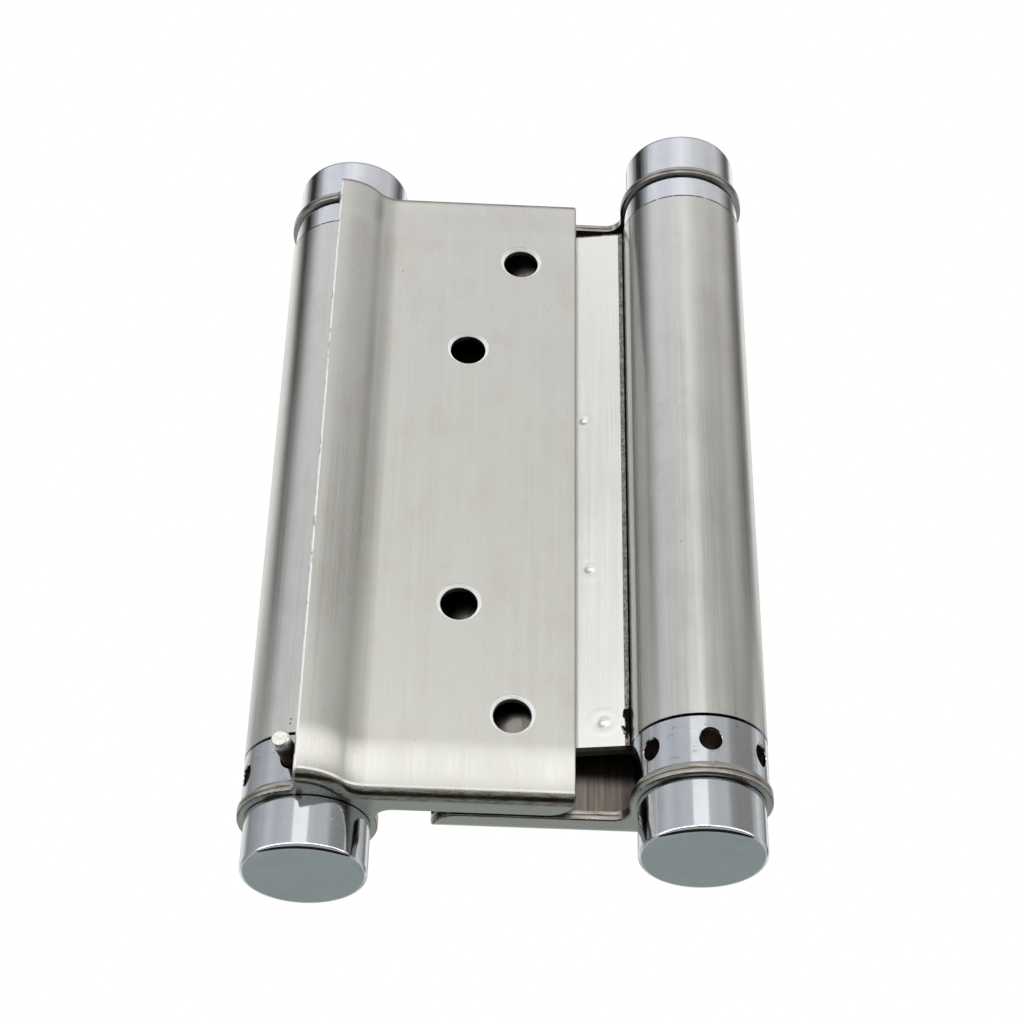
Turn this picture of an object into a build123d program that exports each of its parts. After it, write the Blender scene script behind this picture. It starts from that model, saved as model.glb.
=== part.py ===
"""Double-action spring hinge: two rolled barrels on a spot-welded web, with a folded leaf on each.

Millimetres. The leaves lie parallel to the XZ plane, the barrels stand along Z and the door leaf faces -Y.
The origin is the middle of the hinge: halfway between the barrel axes, at half the length.
Every piece is made once for the door side, and turned half a turn about Z for the jamb side.
"""
from build123d import *
import os
from math import acos, asin, atan2, cos, degrees, hypot, radians, sin, sqrt

os.makedirs("parts", exist_ok=True)

# Overall sizes
overall_length = 125.0
axis_distance = 54.0
leaf_angle = 9.8

# Sheet metal
barrel_sheet = 1.2
leaf_sheet = 1.4
barrel_radius = 9.3
web_bend_radius = 1.0
seam_gap_angle = 3.0
web_edge_gap = 0.15

# Leaf outline: the free edge rests on the web, and past a joggle the hinge edge stands proud of the flat
free_edge_x = 9.7
rest_gap = 0.3
hinge_edge_offset = 1.6
joggle_rise = 4.45
joggle_crest_radius = 8.5
joggle_hollow_radius = 3.8
end_bend_inner_radius = 0.3
edge_roll = 0.3
flange_middle_gap = 0.7
flange_corner_radius = 3.8
neck_radius = 2.4
shoulder_radius = 1.3
ear_margin = 0.4

# Spot welds of the web: (x, z) from its middle and the same at -x, with a shallow dent on both faces
weld_spots = ((11.5, 11.3), (12.2, -15.7), (14.0, -41.3))
weld_dent_radius = 1.5
weld_dent_depth = 0.3

# Screw holes of each leaf, the outer ones set from its ends and the inner ones from the outer ones
screw_hole_diameter = 5.4
screw_rim_chamfer = 0.5
outer_screw_x = 0.95
outer_screw_inset = 13.25
inner_screw_x = -6.95
screw_spacing = 18.0

# Turned pieces
cap_height = 7.85
cap_step = 0.6
cap_edge_radius = 0.93
cap_wall = 1.3
cap_roof = 1.9
cap_boss_wall = 1.8
plug_head_height = 4.15
plug_step = 0.2
plug_edge_chamfer = 0.25
spigot_length = 5.0
collar_step = 0.05
collar_height = 7.45
collar_edge_chamfer = 0.3
bush_wall = 1.0
washer_thickness = 0.3
washer_step = 0.8
spindle_radius = 3.0

# Tension pin and its holes
pin_hole_radius = 1.53
pin_hole_count = 6
pin_hole_pitch = 54.5
pin_hole_depth = 3.95
pin_hole_rim = 0.2
pin_radius = 1.3
pin_length = 9.2
pin_edge_break = 0.25

# Torsion spring of square wire, its round turns drawn with short straight runs
spring_wire = 2.4
spring_side_gap = 1.0
spring_turns = 24
runs_per_turn = 12
tang_length = 3.4

# Clearances
turning_gap = 0.15
running_clearance = 0.08
seat_clearance = 0.05
spigot_clearance = 0.25
pin_side_clearance = 0.15
tang_clearance = 0.25
spring_end_clearance = 0.3
cut_overrun = 3.0

# Levels along the barrel, from the middle
cap_end_z = overall_length / 2
cap_foot_z = cap_end_z - cap_height
ear_outer_z = cap_foot_z - turning_gap
ear_inner_z = ear_outer_z - leaf_sheet
washer_inner_z = ear_inner_z - washer_thickness
barrel_top_z = washer_inner_z - plug_head_height
collar_top_z = -washer_inner_z + collar_height
barrel_bottom_z = collar_top_z + turning_gap
spindle_end_z = cap_end_z - cap_roof
plug_spigot_z = barrel_top_z - spigot_length
collar_spigot_z = collar_top_z + spigot_length
pin_hole_z = (collar_top_z - washer_inner_z) / 2
leaf_height = 2 * ear_outer_z
outer_screw_z = ear_outer_z - outer_screw_inset
inner_screw_z = outer_screw_z - screw_spacing

# Radii: all but the first follow the barrel's
end_bend_radius = leaf_sheet + end_bend_inner_radius
barrel_bore = barrel_radius - barrel_sheet
ear_radius = barrel_radius + ear_margin
cap_radius = barrel_radius - cap_step
plug_head_radius = barrel_radius - plug_step
collar_radius = barrel_radius - collar_step
washer_radius = barrel_radius - washer_step
pin_hole_floor = collar_radius - pin_hole_depth
spring_mean_radius = barrel_bore - spring_side_gap - spring_wire / 2
ear_bore = spindle_radius + running_clearance
bush_radius = ear_bore + bush_wall
collar_bore = bush_radius + seat_clearance
thread_bore = spindle_radius + seat_clearance

# The door axis seen in the frame of the leaves, which lie at leaf_angle to the plane of the two axes
door_axis_x = -axis_distance / 2 * cos(radians(leaf_angle))
door_axis_y = axis_distance / 2 * sin(radians(leaf_angle))

# The leaf's free edge rests on the web: that sets how far the leaf's outer face is from the middle
web_face_y = -(free_edge_x * sin(radians(leaf_angle)) + barrel_sheet) / cos(radians(leaf_angle))
leaf_face_y = web_face_y - rest_gap - leaf_sheet
flange_inner_y = -flange_middle_gap / 2
hinge_edge_x = door_axis_x - hinge_edge_offset
hinge_edge_y = leaf_face_y - joggle_rise

# The tension pin bears on the inner corner of the leaf's hinge edge
corner_depth = door_axis_y - hinge_edge_y - leaf_sheet
corner_angle = degrees(atan2(-corner_depth, -hinge_edge_offset))
corner_distance = hypot(corner_depth, hinge_edge_offset)
pin_angle = corner_angle - degrees(asin((pin_radius + pin_side_clearance) / corner_distance))


def polar(radius, angle, centre=(0, 0)):
    """The point at a radius and an angle in degrees round a centre."""
    x = centre[0] + radius * cos(radians(angle))
    y = centre[1] + radius * sin(radians(angle))
    return (x, y)


def on_door_axis(shape, turned=0.0):
    """Moves a piece made round the origin onto the door axis, turned about it."""
    return Pos(door_axis_x, door_axis_y, 0) * Rot(0, 0, turned) * shape


def turned(*profile):
    """A turned piece: a closed half section of (radius, z) points spun about Z."""
    return revolve(make_face(Plane.XZ * Polyline(*profile, close=True)), Axis.Z)


def rim_edges(piece, radius, z):
    """The round edges of a turned piece at one radius and level."""
    rings = piece.edges().filter_by(GeomType.CIRCLE)
    return [edge for edge in rings if abs(edge.radius - radius) < 0.001 and abs(edge.center().Z - z) < 0.001]


def barrel():
    """One sheet: a flap from beside the far barrel, bent forwards and rolled round the spring."""
    radius_mid = barrel_radius - barrel_sheet / 2
    bend_outer = web_bend_radius + barrel_sheet
    bend_y = -bend_outer
    bend_x = sqrt((radius_mid + web_bend_radius + barrel_sheet / 2) ** 2 - bend_y**2)
    join_angle = degrees(atan2(bend_y, bend_x))
    bend_turn = 90 + join_angle
    roll_turn = 360 + join_angle - seam_gap_angle
    seam_angle = join_angle - roll_turn
    flap_end_x = axis_distance - barrel_radius - web_edge_gap
    outline = [
        Line((flap_end_x, 0), (flap_end_x, -barrel_sheet)),
        Line((flap_end_x, -barrel_sheet), (bend_x, -barrel_sheet)),
        CenterArc((bend_x, bend_y), web_bend_radius, 90, bend_turn),
        CenterArc((0, 0), barrel_radius, join_angle, -roll_turn),
        Line(polar(barrel_radius, seam_angle), polar(barrel_bore, seam_angle)),
        CenterArc((0, 0), barrel_bore, seam_angle, roll_turn),
        CenterArc((bend_x, bend_y), bend_outer, 90 + bend_turn, -bend_turn),
        Line((bend_x, 0), (flap_end_x, 0)),
    ]
    sheet = extrude(make_face(Curve() + outline), barrel_top_z - barrel_bottom_z)
    sheet = Pos(0, 0, barrel_bottom_z) * sheet
    ball_radius = (weld_dent_radius**2 + weld_dent_depth**2) / (2 * weld_dent_depth)
    ball_y = -barrel_sheet + weld_dent_depth - ball_radius
    for x, z in weld_spots:
        for side in (-x, x):
            sheet -= Pos(axis_distance / 2 + side, ball_y, z) * Sphere(ball_radius)
    return on_door_axis(sheet, -leaf_angle)


def leaf_front(depth):
    """The leaf's front line at a depth inside the sheet: the crest and hollow of the joggle, the flat."""
    joggle_turn = degrees(acos(1 - joggle_rise / (joggle_crest_radius + joggle_hollow_radius)))
    flat_start_x = hinge_edge_x + (joggle_crest_radius + joggle_hollow_radius) * sin(radians(joggle_turn))
    crest_centre = (hinge_edge_x, hinge_edge_y + joggle_crest_radius)
    hollow_centre = (flat_start_x, leaf_face_y - joggle_hollow_radius)
    flat_y = leaf_face_y + depth
    return [
        CenterArc(crest_centre, joggle_crest_radius - depth, -90, joggle_turn),
        CenterArc(hollow_centre, joggle_hollow_radius + depth, 90 + joggle_turn, -joggle_turn),
        Line((flat_start_x, flat_y), (free_edge_x, flat_y)),
    ]


def leaf_block(depth, overrun, back_y, height):
    """A full block behind the front line, and that line: the leaf is one block less a smaller one."""
    left_x = hinge_edge_x - overrun
    right_x = free_edge_x + overrun
    edge_y = hinge_edge_y + depth
    flat_y = leaf_face_y + depth
    front = leaf_front(depth)
    if overrun:
        front.append(Line((left_x, edge_y), (hinge_edge_x, edge_y)))
        front.append(Line((free_edge_x, flat_y), (right_x, flat_y)))
    back = Polyline(
        (right_x, flat_y),
        (right_x, back_y),
        (door_axis_x, back_y),
        (door_axis_x, door_axis_y),
        (left_x, door_axis_y),
        (left_x, edge_y),
    )
    return extrude(make_face(Curve() + front + back), height / 2, both=True), front


def round_long_edges(block, front, height, radius):
    """Rounds the top and bottom edges along the front line, as the folds to the flanges are."""

    def on_front(edge):
        middle = edge @ 0.5
        foot = Vector(middle.X, middle.Y, 0)
        at_end = abs(abs(middle.Z) - height / 2) < 0.001
        return at_end and min(line.distance_to(foot) for line in front) < 0.001

    return fillet([edge for edge in block.edges() if on_front(edge)], radius)


def ear_face():
    """The ring round the spindle and the flange, rounded at the neck and the shoulder where they meet."""
    ring = Pos(door_axis_x, door_axis_y) * Circle(ear_radius)
    neck_x = door_axis_x + sqrt(ear_radius**2 - (door_axis_y - flange_inner_y) ** 2)
    shoulder_y = door_axis_y - sqrt(ear_radius**2 - hinge_edge_offset**2)
    strip_width = flange_inner_y - leaf_face_y - end_bend_radius
    strip = Rectangle(free_edge_x - door_axis_x, strip_width, align=(Align.MIN, Align.MAX))
    shoulder_width = door_axis_y - hinge_edge_y - end_bend_radius
    shoulder = Rectangle(hinge_edge_offset, shoulder_width, align=(Align.MIN, Align.MAX))
    face = ring + Pos(door_axis_x, flange_inner_y) * strip + Pos(hinge_edge_x, door_axis_y) * shoulder
    for x, y, radius in ((neck_x, flange_inner_y, neck_radius), (hinge_edge_x, shoulder_y, shoulder_radius)):
        face = fillet(face.vertices().sort_by_distance(Vector(x, y, 0))[0], radius)
    return face


def flange_corner():
    """What a rounded corner takes off the free end of a flange."""
    square = Rectangle(flange_corner_radius, flange_corner_radius, align=(Align.MAX, Align.MAX))
    quarter = Pos(-flange_corner_radius, -flange_corner_radius) * Circle(flange_corner_radius)
    return Pos(free_edge_x, flange_inner_y) * (square - quarter)


def screw_hole(x, z):
    """A screw hole through the flat of the leaf, its rim broken on the outer face."""
    hole_radius = screw_hole_diameter / 2
    rim_radius = hole_radius + screw_rim_chamfer
    hole = Cylinder(hole_radius, 2 * leaf_sheet)
    rim = Pos(0, 0, leaf_sheet) * Cone(
        hole_radius, rim_radius, screw_rim_chamfer, align=(Align.CENTER, Align.CENTER, Align.MAX)
    )
    return Pos(x, leaf_face_y + leaf_sheet, z) * Rot(90, 0, 0) * (hole + rim)


def leaf():
    """One folded sheet: wall with a joggle, an end flange and an ear ring at each end, its outline rolled."""
    hollow_height = leaf_height - 2 * leaf_sheet
    block, front = leaf_block(0, 0, flange_inner_y, leaf_height)
    hollow, hollow_front = leaf_block(leaf_sheet, cut_overrun, door_axis_y + cut_overrun, hollow_height)
    rounded = round_long_edges(block, front, leaf_height, end_bend_radius)
    sheet = rounded - round_long_edges(hollow, hollow_front, hollow_height, end_bend_inner_radius)
    ear = extrude(ear_face(), leaf_sheet)
    for foot in (ear_inner_z, -ear_outer_z):
        sheet += Pos(0, 0, foot) * ear - block
    sheet -= Pos(door_axis_x, door_axis_y, 0) * Cylinder(ear_bore, leaf_height)
    corner = extrude(flange_corner(), end_bend_radius)
    for foot in (ear_outer_z - end_bend_radius, -ear_outer_z):
        sheet -= Pos(0, 0, foot) * corner
    for x, z in ((outer_screw_x, outer_screw_z), (inner_screw_x, inner_screw_z)):
        sheet -= screw_hole(x, z)
        sheet -= screw_hole(x, -z)
    upright_edges = sheet.edges().filter_by(Axis.Z)
    hinge_edge = upright_edges.sort_by_distance(Vector(hinge_edge_x, hinge_edge_y, 0))[0]
    return fillet(hinge_edge, edge_roll)


def tang_slot():
    """The square slot that a spring end drops into, its mouth at the origin's level, going up."""
    width = spring_wire + 2 * tang_clearance
    slot = Box(width, width, tang_length + tang_clearance, align=(Align.CENTER, Align.CENTER, Align.MIN))
    return Pos(spring_mean_radius, 0, 0) * slot


def top_plug():
    """Chromed head on the tube's top end, with a spigot in the tube that holds the spring's end."""
    spigot_radius = barrel_bore - seat_clearance
    plug = turned(
        (thread_bore, plug_spigot_z),
        (spigot_radius, plug_spigot_z),
        (spigot_radius, barrel_top_z),
        (plug_head_radius, barrel_top_z),
        (plug_head_radius, washer_inner_z),
        (thread_bore, washer_inner_z),
    )
    plug = chamfer(rim_edges(plug, plug_head_radius, washer_inner_z), plug_edge_chamfer)
    return on_door_axis(plug - Pos(0, 0, plug_spigot_z) * tang_slot())


def tension_collar():
    """Chromed collar under the tube with a row of pin holes and a spigot that holds the spring's end."""
    spigot_radius = barrel_bore - spigot_clearance
    collar = turned(
        (collar_bore, -washer_inner_z),
        (collar_radius, -washer_inner_z),
        (collar_radius, collar_top_z),
        (spigot_radius, collar_top_z),
        (spigot_radius, collar_spigot_z),
        (collar_bore, collar_spigot_z),
    )
    edges = rim_edges(collar, collar_radius, -washer_inner_z) + rim_edges(collar, collar_radius, collar_top_z)
    collar = chamfer(edges, collar_edge_chamfer)
    depth = collar_radius - pin_hole_floor
    hole = Cylinder(pin_hole_radius, 2 * depth)
    rim_mouth = pin_hole_radius + pin_hole_rim
    rim = Cone(pin_hole_radius, rim_mouth, pin_hole_rim, align=(Align.CENTER, Align.CENTER, Align.MAX))
    hole = Pos(collar_radius, 0, pin_hole_z) * Rot(0, 90, 0) * hole
    rim = Pos(collar_radius, 0, pin_hole_z) * Rot(0, 90, 0) * rim
    for step in range(pin_hole_count):
        collar -= Rot(0, 0, pin_angle - step * pin_hole_pitch) * (hole + rim)
    return on_door_axis(collar - Pos(0, 0, collar_spigot_z) * Rot(180, 0, 0) * tang_slot())


def tension_pin():
    """Round pin in the first hole of the collar, its side on the curled edge of the leaf."""
    pin = chamfer(Cylinder(pin_radius, pin_length).edges().filter_by(GeomType.CIRCLE), pin_edge_break)
    inner_end = pin_hole_floor + turning_gap
    pin = Pos(inner_end + pin_length / 2, 0, pin_hole_z) * Rot(0, 90, 0) * pin
    return on_door_axis(pin, pin_angle)


def spindle():
    """Rod through both ears, the plug, the spring and the collar, threaded for a cap at each end."""
    rod = Cylinder(spindle_radius, 2 * spindle_end_z)
    return on_door_axis(chamfer(rod.edges().filter_by(GeomType.CIRCLE), pin_edge_break))


def cap():
    """Chromed end cap: a flat-ended cup with a boss that screws on the spindle."""
    boss_radius = thread_bore + cap_boss_wall
    roof_z = cap_end_z - cap_roof
    shell = turned(
        (thread_bore, cap_foot_z),
        (boss_radius, cap_foot_z),
        (boss_radius, roof_z),
        (cap_radius - cap_wall, roof_z),
        (cap_radius - cap_wall, cap_foot_z),
        (cap_radius, cap_foot_z),
        (cap_radius, cap_end_z),
        (0, cap_end_z),
        (0, spindle_end_z + seat_clearance),
        (thread_bore, spindle_end_z + seat_clearance),
    )
    return on_door_axis(fillet(rim_edges(shell, cap_radius, cap_end_z), cap_edge_radius))


def spring():
    """Square-wire torsion spring whose straight ends stand in the slots of plug and collar."""
    foot_z = collar_spigot_z + spring_end_clearance
    head_z = plug_spigot_z - spring_end_clearance
    run_count = spring_turns * runs_per_turn
    run_angle = 360 / runs_per_turn
    run_rise = (head_z - foot_z - spring_wire) / run_count
    corners = [
        (*polar(spring_mean_radius, run * run_angle), foot_z + spring_wire / 2 + run * run_rise)
        for run in range(run_count + 1)
    ]
    path = Polyline(*corners)
    start = Plane(origin=path @ 0, x_dir=(1, 0, 0), z_dir=path % 0)
    coil = sweep(start * Rectangle(spring_wire, spring_wire), path, transition=Transition.RIGHT)
    tang_height = tang_length + spring_end_clearance + spring_wire / 2
    for wire_end, side in ((path @ 0, Align.MAX), (path @ 1, Align.MIN)):
        tang = Box(spring_wire, spring_wire, tang_height, align=(Align.CENTER, Align.CENTER, side))
        coil += Pos(wire_end) * tang
    return on_door_axis(coil)


def collar_bush():
    """Plain bush between the collar and the spindle."""
    return on_door_axis(
        turned(
            (ear_bore, -washer_inner_z),
            (bush_radius, -washer_inner_z),
            (bush_radius, collar_spigot_z),
            (ear_bore, collar_spigot_z),
        )
    )


def washer(foot_z):
    """Thin washer between an ear and the end of the barrel."""
    top_z = foot_z + washer_thickness
    ring = turned((ear_bore, foot_z), (washer_radius, foot_z), (washer_radius, top_z), (ear_bore, top_z))
    return on_door_axis(ring)


pieces = {
    "barrel": barrel(),
    "leaf": leaf(),
    "top_plug": top_plug(),
    "tension_collar": tension_collar(),
    "tension_pin": tension_pin(),
    "spindle": spindle(),
    "cap_top": cap(),
    "cap_bottom": mirror(cap(), Plane.XY),
    "spring": spring(),
    "collar_bush": collar_bush(),
    "washer_top": washer(washer_inner_z),
    "washer_bottom": washer(-ear_inner_z),
}
for name, piece in pieces.items():
    export_step(piece, f"parts/door_{name}.step")
    export_step(Rot(0, 0, 180) * piece, f"parts/jamb_{name}.step")
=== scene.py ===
"""Finishes, surface marks and studio for a double-action spring hinge, laid out as a Blender add-on.

Metres, in the hinge's own frame: the leaves lie parallel to the XZ plane, the barrels stand along Z,
and the origin is halfway between the two barrels. The near leaf faces -Y.
"""

from math import atan2, cos, radians, sin

import bpy
from bpy.props import FloatProperty, FloatVectorProperty, PointerProperty
from bpy.types import Operator, Panel, PropertyGroup
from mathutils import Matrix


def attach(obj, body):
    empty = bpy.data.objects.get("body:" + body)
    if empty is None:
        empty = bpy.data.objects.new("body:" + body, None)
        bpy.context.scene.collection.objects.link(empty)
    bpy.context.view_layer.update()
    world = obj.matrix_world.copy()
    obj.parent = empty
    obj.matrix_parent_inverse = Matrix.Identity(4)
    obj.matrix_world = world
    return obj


bl_info = {
    "name": "Spring Hinge Finish",
    "version": (1, 0, 0),
    "blender": (4, 5, 0),
    "location": "View3D > Sidebar > Spring Hinge",
    "description": "Brushed steel, chrome, weld marks and studio for a double-action spring hinge",
    "category": "Object",
}

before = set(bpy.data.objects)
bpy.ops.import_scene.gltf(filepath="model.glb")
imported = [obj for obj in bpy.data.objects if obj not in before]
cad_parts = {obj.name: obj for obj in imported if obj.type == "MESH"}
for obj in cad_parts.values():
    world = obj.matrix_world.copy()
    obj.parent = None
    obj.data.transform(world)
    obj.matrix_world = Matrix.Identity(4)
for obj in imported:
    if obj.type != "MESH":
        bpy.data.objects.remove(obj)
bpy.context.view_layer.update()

MM = 0.001

# Where things are on the hinge, in its own frame
WEB_TILT = radians(9.8)
BARREL_AXIS = (-26.606 * MM, 4.596 * MM)
WELDS = ((11.5, 11.3), (12.2, -15.7), (14.0, -41.3))
WEB_THICKNESS = 2.4 * MM
FLAP_END = 17.55 * MM
LEAF_COVER = 9.4 * MM
SCREW_HOLES = ((0.95, 41.25), (-6.95, 23.25))
SCREW_RADIUS = 2.7 * MM
HINGE_EDGE_X = -28.206 * MM
BARREL_TOP_Z = 48.65 * MM
FOLD_Z = 53.0 * MM
FLANGE_INNER_Z = 53.1 * MM
EAR_RADIUS = 9.7 * MM
COLLAR_RADIUS = 9.25 * MM
COLLAR_TOP_Z = -45.35 * MM
COLLAR_RING_Z = -52.6 * MM
PITS = ((-29.3, -4.3, -43.1), (-29.4, -4.3, -43.8))
GREASE_BEAD = (BARREL_AXIS[0] - 0.9 * MM, BARREL_AXIS[1] - 8.7 * MM, -54.9 * MM)
PIN_END = (-30.2 * MM, -9.6 * MM, -49.07 * MM)

# Relief that the bends and the punch leave on a leaf, its depth and height in millimetres
BOW_Z = 45.6 * MM
BOW_END_Z = 53.2 * MM
BOW_DEPTH = 0.52
HOLE_RIM_WIDTH = 0.5 * MM
HOLE_RIM_HEIGHT = 0.5

# The torn place at the lower end of the web's sheared edge
TORN_FROM_X = 16.3 * MM
TORN_TO_X = 17.95 * MM
TORN_Z = (-43.0 * MM, -41.0 * MM)

# A spot weld, from its middle outwards
WELD_REACH = 3.2 * MM
DISH_DEPTH = 0.045 * MM
DISH_WIDTH = 0.7 * MM
NUB_HEIGHT = 0.11 * MM
NUB_WIDTH = 0.5 * MM
NUB_ASIDE = (0.08 * MM, 0.05 * MM, 0)
SHOULDER_HEIGHT = 0.006 * MM
SHOULDER_RADIUS = 1.75 * MM
SHOULDER_WIDTH = 0.7 * MM
WELD_RIM_DEPTH = 0.1 * MM


def hex_colour(text):
    """An sRGB hex colour as linear red, green and blue."""
    parts = [int(text[i : i + 2], 16) / 255 for i in (1, 3, 5)]
    return tuple(c / 12.92 if c <= 0.04045 else ((c + 0.055) / 1.055) ** 2.4 for c in parts)


def node(tree, kind, inputs=None, **settings):
    """Adds a node with its settings. An input is a value, or another node's output to link from."""
    made = tree.nodes.new(kind)
    for name, value in settings.items():
        setattr(made, name, value)
    for name, value in (inputs or {}).items():
        if isinstance(value, bpy.types.NodeSocket):
            tree.links.new(value, made.inputs[name])
        else:
            made.inputs[name].default_value = value
    return made


def new_material(name):
    """An empty node material, and the Object coordinates that its patterns read."""
    material = bpy.data.materials.new(name)
    material.use_nodes = True
    tree = material.node_tree
    tree.nodes.clear()
    place = node(tree, "ShaderNodeTexCoord").outputs["Object"]
    return material, tree, place


def maths(tree, operation, *values):
    """The result of a Math node."""
    return node(tree, "ShaderNodeMath", dict(enumerate(values)), operation=operation).outputs[0]


def spread(tree, value, low, high, to_low=0.0, to_high=1.0):
    """A value brought smoothly from one range to another."""
    inputs = {"Value": value, "From Min": low, "From Max": high, "To Min": to_low, "To Max": to_high}
    return node(tree, "ShaderNodeMapRange", inputs, interpolation_type="SMOOTHSTEP").outputs["Result"]


def times(tree, first, *others):
    """The product of two or more values."""
    for other in others:
        first = maths(tree, "MULTIPLY", first, other)
    return first


def rgba(colour):
    """A colour as a socket takes it, from hex text or three linear values. A socket stays as it is."""
    if isinstance(colour, bpy.types.NodeSocket):
        return colour
    if isinstance(colour, str):
        colour = hex_colour(colour)
    return (*colour, 1)


def tint(tree, factor, base, over):
    """One colour laid over another by a factor."""
    inputs = {"Factor": factor, 6: rgba(base), 7: rgba(over)}
    return node(tree, "ShaderNodeMix", inputs, data_type="RGBA").outputs[2]


def grain(tree, place, spacing, detail=2.0, roughness=0.5, start=(0.0, 0.0, 0.0)):
    """Noise whose features are about as far apart as the three spacings, in metres."""
    scale = tuple(1 / s for s in spacing)
    moved = node(tree, "ShaderNodeMapping", {"Vector": place, "Scale": scale, "Location": start})
    inputs = {"Vector": moved.outputs[0], "Scale": 1.0, "Detail": detail, "Roughness": roughness}
    return node(tree, "ShaderNodeTexNoise", inputs).outputs["Fac"]


def near(tree, place, centre, reach, soft):
    """1 inside a ball of a given reach round a point, fading to 0 over a soft rim."""
    inputs = {0: place, 1: centre}
    away = node(tree, "ShaderNodeVectorMath", inputs, operation="DISTANCE").outputs["Value"]
    return spread(tree, away, reach + soft, reach)


def within(tree, value, low, high, soft):
    """1 where a value lies between two others, fading to 0 just outside them."""
    return times(tree, spread(tree, value, low - soft, low), spread(tree, value, high + soft, high))


def axes(tree, vector):
    """The three parts of a vector."""
    return node(tree, "ShaderNodeSeparateXYZ", {0: vector}).outputs


def half_turned(tree, place, decides):
    """The place on either half of the hinge, as on the half where the deciding axis is negative.

    The second half is the first one turned half a turn about Z.
    """
    parts = axes(tree, place)
    side = times(tree, maths(tree, "SIGN", parts[decides]), -1.0)
    inputs = {"X": times(tree, side, parts["X"]), "Y": times(tree, side, parts["Y"]), "Z": parts["Z"]}
    return node(tree, "ShaderNodeCombineXYZ", inputs).outputs[0], side


def off_axis(tree, where):
    """How far a place on the left half of the hinge is from its barrel's axis."""
    flat = node(tree, "ShaderNodeVectorMath", {0: where, 1: (1, 1, 0)}, operation="MULTIPLY").outputs[0]
    inputs = {0: flat, 1: (*BARREL_AXIS, 0)}
    return node(tree, "ShaderNodeVectorMath", inputs, operation="DISTANCE").outputs["Value"]


def at_holes(tree, across, high, reach, soft):
    """1 round each screw hole of a leaf, by the place across it and the height from its middle."""
    flat = node(tree, "ShaderNodeCombineXYZ", {"X": across, "Z": high}).outputs[0]
    found = 0.0
    for x, z in SCREW_HOLES:
        found = maths(tree, "MAXIMUM", found, near(tree, flat, (x * MM, 0, z * MM), reach, soft))
    return found


def finish_metal(tree, colour, roughness, normal):
    """Closes a metal's tree: colour, roughness and normal into a metallic shader and the output."""
    inputs = {"Base Color": colour, "Metallic": 1.0, "Roughness": roughness, "Normal": normal}
    shader = node(tree, "ShaderNodeBsdfPrincipled", inputs)
    node(tree, "ShaderNodeOutputMaterial", {"Surface": shader.outputs[0]})


class HingeFinishSettings(PropertyGroup):
    steel_colour: FloatVectorProperty(
        name="Stainless colour",
        description="Colour of the ground stainless sheet of the barrels and the web",
        subtype="COLOR",
        size=3,
        default=hex_colour("#D0D1CD"),
    )
    leaf_colour: FloatVectorProperty(
        name="Leaf colour",
        description="Colour of the ground stainless sheet of the leaves, a little duller than the barrels",
        subtype="COLOR",
        size=3,
        default=hex_colour("#C8C8C3"),
    )
    # Browner than the ground sheet, and darker still as painted shade on the folds and the cut edges
    fold_and_shade_colour: FloatVectorProperty(
        name="Fold colour",
        description="Colour of the stretched sheet on the tight end folds, where the grinding lines are lost",
        subtype="COLOR",
        size=3,
        default=hex_colour("#81776E"),
    )
    chrome_colour: FloatVectorProperty(
        name="Chrome colour",
        description="Colour of the plated caps, plugs and tension collars",
        subtype="COLOR",
        size=3,
        default=hex_colour("#D0D4DA"),
    )
    grease_colour: FloatVectorProperty(
        name="Grease colour",
        description="Colour of the old grease in the pin hole and under the rings",
        subtype="COLOR",
        size=3,
        default=hex_colour("#5A4128"),
    )
    line_spacing: FloatProperty(
        name="Grinding line spacing",
        description="Distance between the grinding lines of the stainless sheet, across them",
        subtype="DISTANCE",
        unit="LENGTH",
        default=0.28 * MM,
    )
    line_length: FloatProperty(
        name="Grinding line length",
        description="Length of a grinding line along the hinge",
        subtype="DISTANCE",
        unit="LENGTH",
        default=30.0 * MM,
    )
    # Painted shade: this colour darkens the leaves' inner faces and the walls of their holes, where shade
    # falls
    inner_shade_colour: FloatVectorProperty(
        name="Mill finish colour",
        description="Colour of the unground inner faces of the leaves and of the walls of their holes",
        subtype="COLOR",
        size=3,
        default=hex_colour("#6A625A"),
    )
    weld_reach: FloatProperty(
        name="Weld reach",
        description="How far from its middle a spot weld puckers the web",
        subtype="DISTANCE",
        unit="LENGTH",
        default=WELD_REACH,
    )
    weld_dish: FloatProperty(
        name="Weld dish depth",
        description="Depth of the shallow dish of a spot weld",
        subtype="DISTANCE",
        unit="LENGTH",
        default=DISH_DEPTH,
    )
    weld_nub: FloatProperty(
        name="Weld nub height",
        description="Height of the small nub in the middle of a spot weld's dish",
        subtype="DISTANCE",
        unit="LENGTH",
        default=NUB_HEIGHT,
    )


class HingeStudioSettings(PropertyGroup):
    floor_drop: FloatProperty(
        name="Floor below the hinge",
        description="Distance from the middle of the hinge down to the studio floor",
        subtype="DISTANCE",
        unit="LENGTH",
        default=0.30,
    )
    floor_size: FloatProperty(
        name="Floor size",
        description="Side of the square studio floor",
        subtype="DISTANCE",
        unit="LENGTH",
        default=4.0,
    )
    floor_colour: FloatVectorProperty(
        name="Floor colour",
        description="Colour of the studio floor",
        subtype="COLOR",
        size=3,
        default=hex_colour("#E9EAE8"),
    )
    floor_bounce: FloatVectorProperty(
        name="Floor in the metal",
        description="Colour of the shaded floor as the metal sees it",
        subtype="COLOR",
        size=3,
        default=hex_colour("#A3ABA7"),
    )
    room_level: FloatProperty(
        name="Room light",
        description="Strength of the even light that the room gives to matt surfaces",
        default=0.85,
        min=0.0,
    )
    key_power: FloatProperty(
        name="Key light",
        description="Power of the large soft lamp at the front left",
        subtype="POWER",
        unit="POWER",
        default=3.0,
        min=0.0,
    )


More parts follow.
